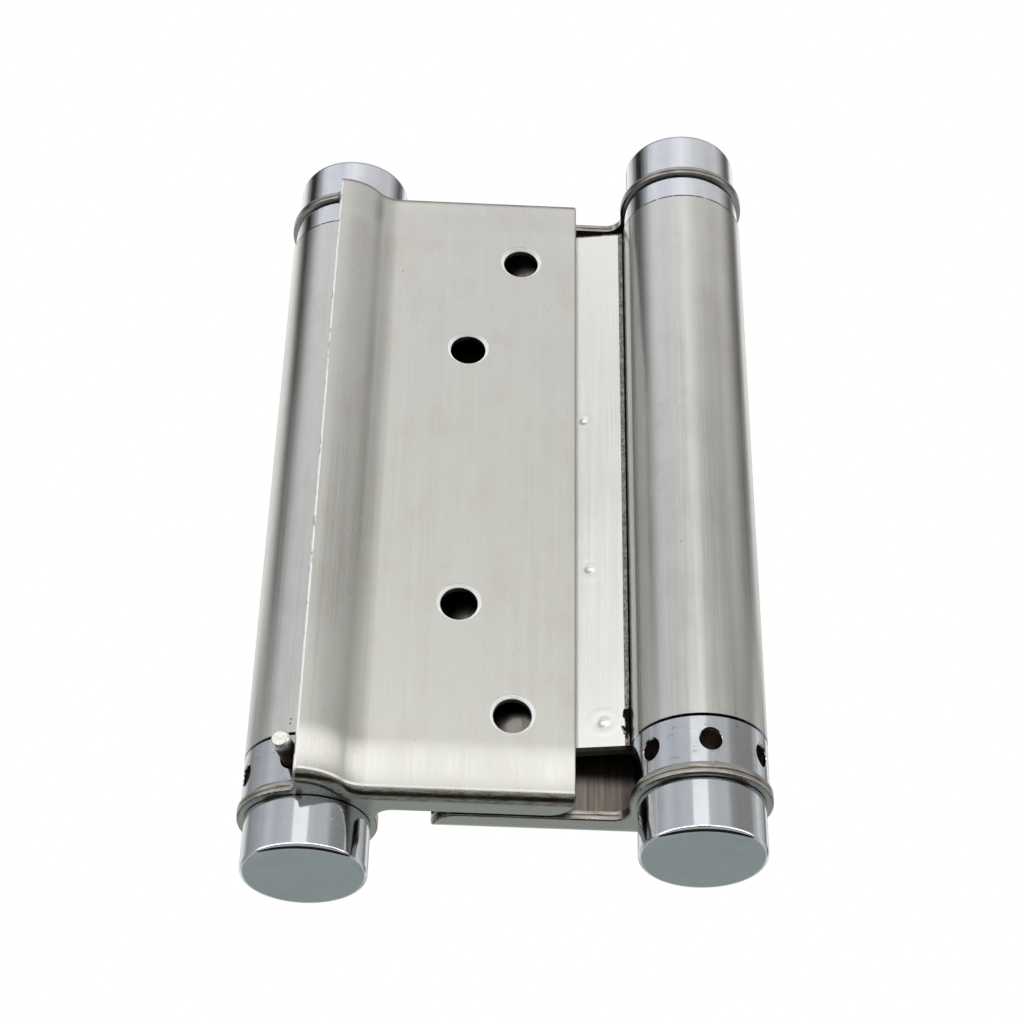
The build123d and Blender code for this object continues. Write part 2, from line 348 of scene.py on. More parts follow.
def brushed_steel(settings, name, folds):
    """Ground stainless sheet, 1.4301, grit 180 along its length.

    To the eye: warm light grey, soft streaky reflections, and fine bright and dark lines along Z.
    """
    material, tree, place = new_material(name)
    across, along = settings.line_spacing, settings.line_length
    lines = grain(tree, place, (across, across, along), detail=3.0, roughness=0.6)
    streaks = grain(tree, place, (1.6 * MM, 1.6 * MM, 80 * MM), start=(3.1, 1.7, 0.4))
    clouds = grain(tree, place, (14 * MM, 14 * MM, 22 * MM), detail=3.0, start=(0.7, 5.2, 2.9))
    stain = grain(tree, place, (6 * MM, 6 * MM, 9 * MM), detail=5.0, roughness=0.65, start=(4.4, 0.9, 7.7))
    pits = grain(tree, place, (0.45 * MM,) * 3, detail=1.0, start=(8.8, 3.3, 1.2))
    steel = settings.leaf_colour if folds else settings.steel_colour
    colour = tint(tree, spread(tree, lines, 0.35, 0.7, 0.0, 0.05), steel, "#FFFFFF")
    colour = tint(tree, spread(tree, streaks, 0.35, 0.75, 0.0, 0.05), colour, "#8F8B84")
    colour = tint(tree, spread(tree, stain, 0.45, 0.70, 0.0, 0.22), colour, "#B7ACA6")
    colour = tint(tree, spread(tree, pits, 0.76, 0.80, 0.0, 0.6), colour, "#5B544D")
    low, high = (0.28, 0.33) if folds else (0.20, 0.25)
    rough = spread(tree, lines, 0.3, 0.7, low, high)
    rough = maths(tree, "ADD", rough, spread(tree, clouds, 0.3, 0.7, -0.03, 0.03))
    height = maths(tree, "MULTIPLY_ADD", streaks, 0.5, lines)
    if folds:
        colour, rough, height = leaf_marks(tree, place, settings, colour, rough, height)
    else:
        colour, rough = web_marks(tree, place, colour, rough)
    bump = node(tree, "ShaderNodeBump", {"Strength": 0.2, "Distance": 0.01 * MM, "Height": height}).outputs[0]
    if folds:
        bump = bent_sheet(tree, place, bump)
    finish_metal(tree, colour, rough, bump)
    return material


def bent_sheet(tree, place, normal):
    """The flat bowed a few degrees before its end folds, and the hole rims rolled over by the punch."""
    where, _ = half_turned(tree, place, "Y")
    spot = axes(tree, where)
    high = maths(tree, "ABSOLUTE", spot["Z"])
    relief = times(tree, spread(tree, high, BOW_Z, BOW_END_Z), -BOW_DEPTH)
    rims = at_holes(tree, spot["X"], high, SCREW_RADIUS, HOLE_RIM_WIDTH)
    relief = maths(tree, "MULTIPLY_ADD", rims, HOLE_RIM_HEIGHT, relief)
    inputs = {"Strength": 1.0, "Distance": 1.0 * MM, "Height": relief, "Normal": normal}
    return node(tree, "ShaderNodeBump", inputs).outputs[0]


def leaf_marks(tree, place, settings, colour, rough, height):
    """A leaf's own marks: painted shade on the inner faces and hole walls, painted highlights on the hole
    rims and hinge edge, sheared edges, and worn folds darkened with painted shade.
    """
    where, side = half_turned(tree, place, "Y")
    spot = axes(tree, where)
    high = maths(tree, "ABSOLUTE", spot["Z"])
    facing = axes(tree, node(tree, "ShaderNodeTexCoord").outputs["Normal"])
    lean = maths(tree, "ABSOLUTE", facing["Z"])
    outward = times(tree, side, -1.0, facing["Y"])
    radius = off_axis(tree, half_turned(tree, place, "X")[0])

    # Painted shade on the inner faces of the wall and the flanges, and on the walls of the screw holes, where
    # shade falls; these faces are also made rougher
    endward = times(tree, maths(tree, "SIGN", spot["Z"]), facing["Z"])
    wall = times(tree, spread(tree, outward, -0.3, -0.7), spread(tree, high, FOLD_Z, FOLD_Z - 0.4 * MM))
    off_ear = spread(tree, radius, EAR_RADIUS, EAR_RADIUS + 0.2 * MM)
    flange = times(tree, spread(tree, endward, -0.3, -0.7), off_ear)
    holes = at_holes(tree, spot["X"], high, SCREW_RADIUS + 0.6 * MM, 0.05 * MM)
    level = maths(tree, "ABSOLUTE", facing["Y"])
    dull = maths(tree, "MAXIMUM", wall, flange)
    dull = maths(tree, "MAXIMUM", dull, times(tree, holes, spread(tree, level, 0.5, 0.2)))
    rolling = grain(tree, place, (0.5 * MM, 0.5 * MM, 12 * MM), detail=4.0, start=(2.2, 6.1, 0.5))
    dull = times(tree, dull, spread(tree, rolling, 0.3, 0.7, 0.84, 1.0))
    colour = tint(tree, dull, colour, settings.inner_shade_colour)
    rough = maths(tree, "MULTIPLY_ADD", dull, 0.12, rough)

    # Painted highlights on the rims of the screw holes and, broken in places, along the rolled hinge edge
    rims = times(tree, holes, within(tree, level, 0.6, 0.8, 0.1))
    rolled = within(tree, spot["X"], HINGE_EDGE_X - 0.1 * MM, HINGE_EDGE_X + 0.34 * MM, 0.06 * MM)
    breaks = grain(tree, place, (0.8 * MM, 0.8 * MM, 2.4 * MM), detail=4.0, start=(1.1, 1.9, 8.0))
    rolled = times(tree, rolled, spread(tree, breaks, 0.36, 0.46))
    bright = times(tree, maths(tree, "MAXIMUM", rims, rolled), 0.9)
    # White painted highlight on the hole rims and along the hinge edge
    colour = tint(tree, bright, colour, "#FFFFFF")
    rough = maths(tree, "MULTIPLY_ADD", bright, 0.3, rough)

    # Sheared edges of flanges and ear rings: a bright roll-over and a dark line where the sheet broke
    ring = within(tree, radius, EAR_RADIUS - 0.12 * MM, EAR_RADIUS + 0.12 * MM, 0.05 * MM)
    cut = maths(tree, "MAXIMUM", ring, spread(tree, outward, 0.3, 0.1))
    at_end = spread(tree, high, FLANGE_INNER_Z - 0.1 * MM, FLANGE_INNER_Z)
    cut = times(tree, cut, spread(tree, lean, 0.6, 0.4), at_end)
    torn = grain(tree, place, (3 * MM, 3 * MM, 0.3 * MM), detail=3.0, start=(0.2, 3.9, 5.8))
    brown = times(tree, cut, spread(tree, torn, 0.35, 0.65, 0.25, 0.75))
    # The cut edges take the fold colour, and with it its painted shade
    colour = tint(tree, brown, colour, settings.fold_and_shade_colour)
    ragged = maths(tree, "MULTIPLY_ADD", maths(tree, "SUBTRACT", torn, 0.5), 0.5 * MM, high)
    broke = within(tree, ragged, FLANGE_INNER_Z + 0.50 * MM, FLANGE_INNER_Z + 0.66 * MM, 0.10 * MM)
    colour = tint(tree, times(tree, broke, cut, 0.85), colour, "#4A413A")

    # Tight end folds: stretched and pebbled, with no grinding lines, in a brown that is darkened with painted
    # shade
    fold = times(tree, spread(tree, lean, 0.12, 0.45), spread(tree, lean, 0.999, 0.96))
    fold = times(tree, fold, spread(tree, high, FOLD_Z - 1.5 * MM, FOLD_Z - 0.5 * MM))
    spacing = (1.6 * MM, 0.25 * MM, 0.25 * MM)
    pebbles = grain(tree, place, spacing, detail=3.0, roughness=0.6, start=(9.1, 0.3, 4.4))
    brown = times(tree, fold, spread(tree, pebbles, 0.35, 0.65, 0.4, 1.0))
    colour = tint(tree, brown, colour, settings.fold_and_shade_colour)
    rough = maths(tree, "MULTIPLY_ADD", fold, -0.06, rough)
    height = maths(tree, "MULTIPLY_ADD", times(tree, fold, pebbles), 4.0, height)
    return colour, rough, height


def web_marks(tree, place, colour, rough):
    """Marks on the barrels' sheets: heat tint round the welds, painted shadows beside the weld nubs, painted
    shade under the leaf and behind its screw holes, painted shade along the flap's edge, a dark joint line
    and pits, and the web's ragged edge.
    """
    inputs = {"Vector": place, "Angle": WEB_TILT}
    turned = node(tree, "ShaderNodeVectorRotate", inputs, rotation_type="Z_AXIS").outputs[0]
    parts = axes(tree, turned)
    across = maths(tree, "ABSOLUTE", parts["X"])
    folded = node(tree, "ShaderNodeCombineXYZ", {"X": across, "Z": parts["Z"]}).outputs[0]
    heat = weld_nub_shadow = 0.0
    for x, z in WELDS:
        heat = maths(tree, "MAXIMUM", heat, near(tree, folded, (x * MM, 0, z * MM), 0.2 * MM, 1.6 * MM))
        nub = near(tree, folded, (x * MM, 0, z * MM), 0.3 * MM, 0.3 * MM)
        # A painted shadow on the low side of each nub
        shade = near(tree, folded, ((x - 0.3) * MM, 0, (z - 0.35) * MM), 0.35 * MM, 0.45 * MM)
        shade = times(tree, shade, maths(tree, "SUBTRACT", 1.0, nub))
        weld_nub_shadow = maths(tree, "MAXIMUM", weld_nub_shadow, shade)
    colour = tint(tree, times(tree, heat, 0.16), colour, "#8B8075")

    # Painted shade on the part of each face that a leaf covers, and the open part was buffed brightest
    own = times(tree, maths(tree, "SIGN", parts["Y"]), -1.0, parts["X"])
    on_web = spread(tree, across, FLAP_END + 0.1 * MM, FLAP_END)
    covered = times(tree, spread(tree, own, LEAF_COVER, LEAF_COVER - 1.5 * MM), on_web)
    # Painted shade under the leaf
    colour = tint(tree, times(tree, covered, 0.8), colour, "#857D75")

    # Painted shade behind the leaf's screw holes, drawn as dark smears on the covered web
    high = maths(tree, "ABSOLUTE", parts["Z"])
    greasy = at_holes(tree, own, high, SCREW_RADIUS + 1.2 * MM, 3.6 * MM)
    smeared = grain(tree, place, (2.5 * MM, 2.5 * MM, 5 * MM), detail=5.0, start=(0.9, 4.4, 2.3))
    greasy = times(tree, greasy, covered, spread(tree, smeared, 0.35, 0.6, 0.15, 1.0))
    # Painted shade seen through the screw holes
    colour = tint(tree, times(tree, greasy, 0.75), colour, "#3A332D")
    buffed = times(tree, maths(tree, "SUBTRACT", 1.0, covered), on_web)
    colour = tint(tree, times(tree, buffed, 0.52), colour, (1, 1, 0.97))
    # Painted shadow beside each weld's nub
    colour = tint(tree, times(tree, weld_nub_shadow, 0.5), colour, "#5A534C")

    # Painted shade in the groove along the sheared end of the flap at the tube, and a thin painted dark line
    # beside it on the tube
    spacing = (0.25 * MM, 0.25 * MM, 0.4 * MM)
    speckle = grain(tree, place, spacing, detail=3.0, roughness=0.7, start=(5.0, 2.0, 9.0))
    sheared = within(tree, own, FLAP_END - 0.6 * MM, FLAP_END + 0.2 * MM, 0.08 * MM)
    sheared = times(tree, sheared, spread(tree, speckle, 0.38, 0.6, 0.72, 1.0))
    thread = within(tree, own, FLAP_END + 1.5 * MM, FLAP_END + 1.65 * MM, 0.15 * MM)
    groove_shade_and_dirt = maths(tree, "MAXIMUM", sheared, times(tree, thread, 0.6))

    # One torn place at the lower end of that edge, on the near face only
    ragged = grain(tree, place, (0.9 * MM, 0.9 * MM, 1.3 * MM), detail=4.0, roughness=0.7)
    reach = maths(tree, "MULTIPLY_ADD", maths(tree, "SUBTRACT", ragged, 0.5), 5.5 * MM, parts["X"])
    middle = within(tree, parts["Z"], *TORN_Z, 3.2 * MM)
    reach = maths(tree, "MULTIPLY_ADD", middle, 1.1 * MM, reach)
    bitten = times(tree, spread(tree, reach, TORN_TO_X, TORN_TO_X + 0.1 * MM), on_web)
    bitten = times(tree, bitten, spread(tree, parts["X"], TORN_FROM_X, TORN_FROM_X + 0.2 * MM))
    bitten = times(tree, bitten, spread(tree, middle, 0.02, 0.1))

    # The joint with the plug: a thin dark line, broken by specks of plate, and two pits beside the pin
    at_top = within(tree, parts["Z"], BARREL_TOP_Z - 0.22 * MM, BARREL_TOP_Z + 0.1 * MM, 0.06 * MM)
    at_top = times(tree, at_top, spread(tree, speckle, 0.62, 0.55))
    groove_shade_and_dirt = maths(tree, "MAXIMUM", groove_shade_and_dirt, at_top)
    for pit in PITS:
        middle = tuple(p * MM for p in pit)
        groove_shade_and_dirt = maths(tree, "MAXIMUM", groove_shade_and_dirt, near(tree, place, middle, 0.09 * MM, 0.1 * MM))
    # Painted shade along the flap's edge and beside it, with the dark joint line and the pits
    colour = tint(tree, times(tree, groove_shade_and_dirt, 0.9), colour, "#382F28")
    colour = tint(tree, bitten, colour, "#15100D")
    rough = maths(tree, "MULTIPLY_ADD", groove_shade_and_dirt, 0.2, rough)
    return colour, rough


def chrome_plate(settings):
    """Bright chrome plate over turned and buffed steel.

    To the eye: a cool mirror with a slight waviness, hairline scratches, a few dull specks, and greasy
    holes in the collars.
    """
    material, tree, place = new_material("chrome_plate")
    waves = grain(tree, place, (5 * MM, 5 * MM, 9 * MM), detail=1.0)
    buffing = grain(tree, place, (1.5 * MM, 1.5 * MM, 0.12 * MM), detail=2.0, start=(2.0, 8.0, 5.0))
    specks = grain(tree, place, (0.6 * MM,) * 3, detail=3.0, start=(6.0, 1.0, 3.0))
    haze = grain(tree, place, (4 * MM, 4 * MM, 5 * MM), detail=5.0, roughness=0.7, start=(1.0, 4.0, 6.0))
    dull = spread(tree, specks, 0.68, 0.76)
    colour = tint(tree, times(tree, dull, 0.3), settings.chrome_colour, "#8E8478")
    colour = tint(tree, spread(tree, haze, 0.42, 0.68, 0.0, 0.15), colour, "#A6A6A6")
    bead = near(tree, place, GREASE_BEAD, 0.3 * MM, 0.35 * MM)
    colour = tint(tree, times(tree, bead, 0.8), colour, settings.grease_colour)
    rough = maths(tree, "ADD", spread(tree, buffing, 0.3, 0.7, 0.05, 0.11), times(tree, dull, 0.2))
    rough = maths(tree, "ADD", rough, spread(tree, haze, 0.42, 0.68, 0.0, 0.05))
    rough = maths(tree, "MULTIPLY_ADD", bead, 0.3, rough)

    # Inside the pin holes of the collars: unplated and full of old grease. Rust creeps out of some of them
    where, _ = half_turned(tree, place, "X")
    radius = off_axis(tree, where)
    on_collar = within(tree, axes(tree, where)["Z"], COLLAR_RING_Z, COLLAR_TOP_Z, 0.1 * MM)
    bore = times(tree, on_collar, spread(tree, radius, COLLAR_RADIUS - 0.25 * MM, COLLAR_RADIUS - 0.7 * MM))
    colour = tint(tree, times(tree, bore, 0.9), colour, "#7A685A")
    rough = maths(tree, "MULTIPLY_ADD", bore, 0.3, rough)
    spacing = (1.5 * MM, 1.5 * MM, 0.9 * MM)
    smear = grain(tree, place, spacing, detail=5.0, roughness=0.75, start=(7.0, 7.0, 2.0))
    smear = times(tree, spread(tree, smear, 0.56, 0.70, 0.0, 0.5), on_collar)
    colour = tint(tree, smear, colour, "#8F6F63")

    height = maths(tree, "MULTIPLY_ADD", waves, 6.0, buffing)
    bump = node(tree, "ShaderNodeBump", {"Strength": 0.14, "Distance": 0.008 * MM, "Height": height})
    finish_metal(tree, colour, rough, bump.outputs[0])
    return material


def turned_steel(settings):
    """Plain turned steel of pins and spindles, oiled.

    To the eye: brownish grey with rings from the tool, and a bright, rough, sheared end.
    """
    material, tree, place = new_material("turned_steel")
    rings = grain(tree, place, (0.25 * MM,) * 3, detail=3.0)
    stain = grain(tree, place, (1.4 * MM,) * 3, detail=3.0, start=(4.0, 4.0, 1.0))
    colour = tint(tree, spread(tree, stain, 0.4, 0.65, 0.0, 0.7), "#B9B2A8", settings.grease_colour)
    rough = spread(tree, rings, 0.3, 0.7, 0.28, 0.45)
    where, _ = half_turned(tree, place, "X")
    sheared = near(tree, where, PIN_END, 1.5 * MM, 0.3 * MM)
    greasy = maths(tree, "SUBTRACT", 1.0, near(tree, where, PIN_END, 1.4 * MM, 0.9 * MM))
    colour = tint(tree, times(tree, greasy, 0.92), colour, "#4A3420")
    rough = maths(tree, "MULTIPLY_ADD", greasy, 0.3, rough)
    facets = grain(tree, place, (0.7 * MM,) * 3, detail=2.0, start=(3.0, 0.5, 6.0))
    colour = tint(tree, sheared, colour, "#EEECE4")
    rings = maths(tree, "MULTIPLY_ADD", times(tree, sheared, facets), 4.0, rings)
    bump = node(tree, "ShaderNodeBump", {"Strength": 0.8, "Distance": 0.05 * MM, "Height": rings})
    finish_metal(tree, colour, rough, bump.outputs[0])
    return material


def spring_wire():
    """Patented and drawn spring wire, oiled.

    To the eye: near black, with a satin shine along the coils.
    """
    material, tree, place = new_material("spring_wire")
    scale_marks = grain(tree, place, (0.6 * MM, 0.6 * MM, 0.2 * MM), detail=3.0)
    colour = tint(tree, scale_marks, "#3A3A3C", "#6B6662")
    bump = node(tree, "ShaderNodeBump", {"Strength": 0.3, "Distance": 0.02 * MM, "Height": scale_marks})
    finish_metal(tree, colour, spread(tree, scale_marks, 0.3, 0.7, 0.28, 0.4), bump.outputs[0])
    return material


def moulded_nylon():
    """Moulded dark nylon 6 of the washers and bushes.

    To the eye: matt dark grey brown with a soft sheen and a fine eroded grain.
    """
    material, tree, place = new_material("moulded_nylon")
    texture = grain(tree, place, (0.2 * MM,) * 3, detail=2.0)
    colour = tint(tree, texture, "#2E2B28", "#46413B")
    bump = node(tree, "ShaderNodeBump", {"Strength": 0.3, "Distance": 0.01 * MM, "Height": texture})
    inputs = {
        "Base Color": colour,
        "Roughness": spread(tree, texture, 0.3, 0.7, 0.45, 0.6),
        "IOR": 1.53,
        "Normal": bump.outputs[0],
    }
    shader = node(tree, "ShaderNodeBsdfPrincipled", inputs)
    node(tree, "ShaderNodeOutputMaterial", {"Surface": shader.outputs[0]})
    return material


def dress(material, *kinds):
    """Gives a material to both sides' nodes of the named kinds."""
    for kind in kinds:
        for side in ("door", "jamb"):
            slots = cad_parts[f"{side}_{kind}"].material_slots
            if not slots:
                raise RuntimeError(f"{side}_{kind} has no material slot")
            for slot in slots:
                slot.material = material


class HINGE_OT_sheet_steel(Operator):
    """Dresses the leaves and barrels in brushed stainless steel"""

    bl_idname = "hinge.sheet_steel"
    bl_label = "Sheet steel"

    def execute(self, context):
        settings = context.scene.hinge_finish
        dress(brushed_steel(settings, "brushed_stainless_leaf", folds=True), "leaf")
        dress(brushed_steel(settings, "brushed_stainless_barrel", folds=False), "barrel")
        return {"FINISHED"}


class HINGE_OT_chrome_parts(Operator):
    """Dresses the caps, plugs and tension collars in chrome plate"""

    bl_idname = "hinge.chrome_parts"
    bl_label = "Chrome parts"

    def execute(self, context):
        dress(chrome_plate(context.scene.hinge_finish), "cap_top", "cap_bottom", "top_plug", "tension_collar")
        return {"FINISHED"}


class HINGE_OT_inner_parts(Operator):
    """Dresses the pins, spindles, springs, washers and bushes"""

    bl_idname = "hinge.inner_parts"
    bl_label = "Pins, springs and washers"

    def execute(self, context):
        dress(turned_steel(context.scene.hinge_finish), "tension_pin", "spindle")
        dress(spring_wire(), "spring")
        dress(moulded_nylon(), "collar_bush", "washer_top", "washer_bottom")
        return {"FINISHED"}


def bell(tree, value, centre, width):
    """A bell curve: 1 at its centre, gone at twice its width."""
    away = maths(tree, "DIVIDE", maths(tree, "SUBTRACT", value, centre), width)
    return maths(tree, "EXPONENT", times(tree, away, away, -1.0))


def from_axis(tree, vector):
    """The length of a vector's part across Z."""
    parts = axes(tree, vector)
    squares = maths(tree, "ADD", times(tree, parts["X"], parts["X"]), times(tree, parts["Y"], parts["Y"]))
    return maths(tree, "SQRT", squares)


def weld_tree(material):
    """Geometry Nodes: a nugget through the web at every point, its two ends puckered like the sheet there."""
    tree = bpy.data.node_groups.new("spot_welds", "GeometryNodeTree")
    sockets = (
        ("Welds", "NodeSocketGeometry", None),
        ("Reach", "NodeSocketFloat", WELD_REACH),
        ("Web thickness", "NodeSocketFloat", WEB_THICKNESS),
        ("Dish depth", "NodeSocketFloat", DISH_DEPTH),
        ("Nub height", "NodeSocketFloat", NUB_HEIGHT),
        ("Shoulder height", "NodeSocketFloat", SHOULDER_HEIGHT),
        ("Web tilt", "NodeSocketFloat", WEB_TILT),
        ("Unevenness", "NodeSocketFloat", 0.002 * MM),
        ("Seed", "NodeSocketInt", 7),
    )
    for name, kind, default in sockets:
        socket = tree.interface.new_socket(name, in_out="INPUT", socket_type=kind)
        if default is not None:
            socket.default_value = default
    tree.interface.new_socket("Nuggets", in_out="OUTPUT", socket_type="NodeSocketGeometry")
    given = node(tree, "NodeGroupInput").outputs

    # One nugget, lying along Z
    inputs = {
        "Vertices": 64,
        "Side Segments": 1,
        "Fill Segments": 22,
        "Radius": given["Reach"],
        "Depth": given["Web thickness"],
    }
    drum = node(tree, "GeometryNodeMeshCylinder", inputs, fill_type="TRIANGLE_FAN")
    place = node(tree, "GeometryNodeInputPosition").outputs[0]
    out = from_axis(tree, place)
    aside = node(tree, "ShaderNodeVectorMath", {0: place, 1: NUB_ASIDE}, operation="SUBTRACT").outputs[0]
    dish = times(tree, bell(tree, out, 0.0, DISH_WIDTH), given["Dish depth"])
    nub = times(tree, bell(tree, from_axis(tree, aside), 0.0, NUB_WIDTH), given["Nub height"])
    shoulder = times(tree, bell(tree, out, SHOULDER_RADIUS, SHOULDER_WIDTH), given["Shoulder height"])

    # The rim goes under the sheet's face, so that the two meet without a step
    share = maths(tree, "DIVIDE", out, given["Reach"])
    level = spread(tree, share, 0.5, 0.95, 0.0, SHOULDER_HEIGHT)
    sunk = maths(tree, "ADD", level, spread(tree, share, 0.92, 1.0, 0.0, WELD_RIM_DEPTH))
    rise = maths(tree, "SUBTRACT", maths(tree, "ADD", nub, shoulder), maths(tree, "ADD", dish, sunk))
    end = times(tree, maths(tree, "SIGN", axes(tree, place)["Z"]), rise)
    offset = node(tree, "ShaderNodeCombineXYZ", {"Z": end}).outputs[0]
    nugget = node(tree, "GeometryNodeSetPosition", {"Geometry": drum.outputs["Mesh"], "Offset": offset})

    # Laid across the web at every point, each turned and stretched a little its own way
    chance = {"Seed": given["Seed"]}
    spin = node(tree, "FunctionNodeRandomValue", chance, data_type="FLOAT")
    spin.inputs[3].default_value = radians(360)
    stretch = node(tree, "FunctionNodeRandomValue", chance, data_type="FLOAT_VECTOR")
    stretch.inputs[0].default_value = (0.85, 0.85, 1.0)
    stretch.inputs[1].default_value = (1.12, 1.12, 1.0)
    inputs = {"X": radians(90), "Y": spin.outputs[1], "Z": times(tree, given["Web tilt"], -1.0)}
    euler = node(tree, "ShaderNodeCombineXYZ", inputs).outputs[0]
    turn = node(tree, "FunctionNodeEulerToRotation", {"Euler": euler})
    inputs = {
        "Points": given["Welds"],
        "Instance": nugget.outputs[0],
        "Rotation": turn.outputs[0],
        "Scale": stretch.outputs[0],
    }
    laid = node(tree, "GeometryNodeInstanceOnPoints", inputs)
    loose = node(tree, "GeometryNodeRealizeInstances", {"Geometry": laid.outputs["Instances"]})
    noise = node(tree, "ShaderNodeTexNoise", {"Scale": 1 / (1.3 * MM), "Detail": 2.0})
    inputs = {0: noise.outputs["Color"], 1: (0.5, 0.5, 0.5)}
    centred = node(tree, "ShaderNodeVectorMath", inputs, operation="SUBTRACT")
    inputs = {0: centred.outputs[0], "Scale": times(tree, given["Unevenness"], 2.0)}
    shift = node(tree, "ShaderNodeVectorMath", inputs, operation="SCALE")
    shaped = node(tree, "GeometryNodeSetPosition", {"Geometry": loose.outputs[0], "Offset": shift.outputs[0]})
    smooth = node(tree, "GeometryNodeSetShadeSmooth", {"Geometry": shaped.outputs[0]})
    painted = node(tree, "GeometryNodeSetMaterial", {"Geometry": smooth.outputs[0], "Material": material})
    node(tree, "NodeGroupOutput", {"Nuggets": painted.outputs[0]})
    return tree


def set_input(modifier, name, value):
    """Sets a Geometry Nodes input by its socket's identifier."""
    for item in modifier.node_group.interface.items_tree:
        if item.item_type == "SOCKET" and item.in_out == "INPUT" and item.name == name:
            modifier[item.identifier] = value
            return
    raise RuntimeError(f"the tree has no input named {name}")


class HINGE_OT_spot_welds(Operator):
    """Adds the spot welds, puckered on both faces of the web"""

    bl_idname = "hinge.spot_welds"
    bl_label = "Spot welds"

    def execute(self, context):
        settings = context.scene.hinge_finish
        spots = [(across, z * MM) for x, z in WELDS for across in (x * MM, -x * MM)]
        points = [(across * cos(WEB_TILT), -across * sin(WEB_TILT), z) for across, z in spots]
        places = bpy.data.meshes.new("weld_places")
        places.from_pydata(points, [], [])
        base = bpy.data.objects.new("weld_places", places)
        context.scene.collection.objects.link(base)
        modifier = base.modifiers.new("Nuggets", "NODES")
        modifier.node_group = weld_tree(brushed_steel(settings, "brushed_stainless_weld", folds=False))
        set_input(modifier, "Reach", settings.weld_reach)
        set_input(modifier, "Dish depth", settings.weld_dish)
        set_input(modifier, "Nub height", settings.weld_nub)
        context.view_layer.update()
        mesh = bpy.data.meshes.new_from_object(base.evaluated_get(context.evaluated_depsgraph_get()))
        bpy.data.objects.remove(base)
        if not mesh.polygons:
            raise RuntimeError("the spot welds came out empty")
        welds = bpy.data.objects.new("spot_welds", mesh)
        context.scene.collection.objects.link(welds)
        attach(welds, "web")
        return {"FINISHED"}


# What the metal sees round the hinge, by the turn from straight in front: a plain white room with grey
# cards. The first set stands low, up to where the lower caps look, the second above it, and the third
# where the upper caps look
LOW_CARDS = (
    (-180, "#F4F4F2"),
    (-168, "#B9B8B5"),
    (-154, "#FFFFFF"),
    (-140, "#E1E2E2"),
    (-122, "#9A9896"),
    (-108, "#ABABAC"),
    (-87, "#BEBFC1"),
    (-68, "#D6D8DB"),
    (-52, "#C9CBCE"),
    (-36, "#D3D4D6"),
    (-22, "#D8D8D8"),
    (0, "#DCDCDA"),
    (8, "#D8D7D5"),
    (22, "#CECDCB"),
    (38, "#CECDCA"),
    (50, "#A09E9B"),
    (60, "#959391"),
    (88, "#959391"),
    (98, "#C0BEBB"),
    (109, "#E8E8E6"),
    (122, "#C8C6C3"),
    (138, "#848280"),
    (148, "#FFFFFF"),
    (168, "#B0AEAA"),
    (180, "#F4F4F2"),
)
HIGH_CARDS = (
    (-180, "#F4F4F2"),
    (-168, "#B9B8B5"),
    (-154, "#FFFFFF"),
    (-136, "#F8F8F6"),
    (-120, "#E4E3E1"),
    (-110, "#9A9896"),
    (-101, "#4A4744"),
    (-92, "#6E6C6A"),
    (-83, "#9A9A9C"),
    (-72, "#D2D4D8"),
    (-58, "#E0E2E5"),
    (-30, "#E2E3E4"),
    (-12, "#D4D4D2"),
    (-4, "#F4F4F0"),
    (5, "#F4F4F0"),
    (12, "#C8C7C4"),
    (22, "#C0BEBB"),
    (32, "#B4B2AF"),
    (56, "#B4B2AF"),
    (72, "#CDCBC8"),
    (86, "#B6B4B1"),
    (98, "#8C8986"),
    (114, "#5F5C59"),
    (124, "#A0A09E"),
    (134, "#F0F0EE"),
    (147, "#FFFFFF"),
    (166, "#B0AEAA"),
    (180, "#F4F4F2"),
)
TOP_CARDS = (
    (-180, "#F4F4F2"),
    (-168, "#B9B8B5"),
    (-154, "#FFFFFF"),
    (-134, "#DCDCDA"),
    (-120, "#908E8C"),
    (-109, "#35322F"),
    (-100, "#2A2724"),
    (-92, "#6E6C6A"),
    (-82, "#A6A6A8"),
    (-72, "#DFE0E3"),
    (-60, "#EFEFF2"),
    (-46, "#E9E9EC"),
    (-31, "#E8E7EA"),
    (-14, "#F8F6F8"),
    (-1, "#FFFDFE"),
    (13, "#F4F2F2"),
    (28, "#E4E2E2"),
    (44, "#DEDCDB"),
    (60, "#D5D3D2"),
    (79, "#D6D4D3"),
    (92, "#B8B6B4"),
    (101, "#8F8D8B"),
    (112, "#63605D"),
    (124, "#7A7875"),
    (134, "#D0D0CE"),
    (147, "#FFFFFF"),
    (166, "#B0AEAA"),
    (180, "#F4F4F2"),
)

# Heights in that room, as the upward part of the direction looked in: where one thing fades into the next
HORIZON_Z = (0.08, 0.17)
SILL_Z = (0.24, 0.43)
WINDOW_TOP_Z = (0.49, 0.515)
HIGH_Z = (0.49, 0.54)
TOP_Z = (0.63, 0.67)
CEILING_Z = (0.78, 0.92)

TOP_GAIN = 1.17
CEILING_LEVEL = 0.7
WINDOW_SIDES = (-20.0, 3.0)
WINDOW_LEVEL = (1.25, 1.25, 1.23)
SILL_LEVEL = (2.4, 2.4, 2.35)

# The floor as the metal sees it: shaded under the hinge, and a dark strip across in front
SHADED_FLOOR = (0.8, 1.2)
DARK_STRIP_Y = (-0.32, -0.05)

# The photograph's view: focal length and sensor in millimetres, place, and turn in degrees
LENS = 78.04
SENSOR_WIDTH = 36.0
VIEW_PLACE = (-8.835 * MM, -269.999 * MM, -194.037 * MM)
VIEW_TURN = (125.1226, -0.9537, -2.6447)
LAMP_PLACE = (-0.35, -0.6, 0.55)


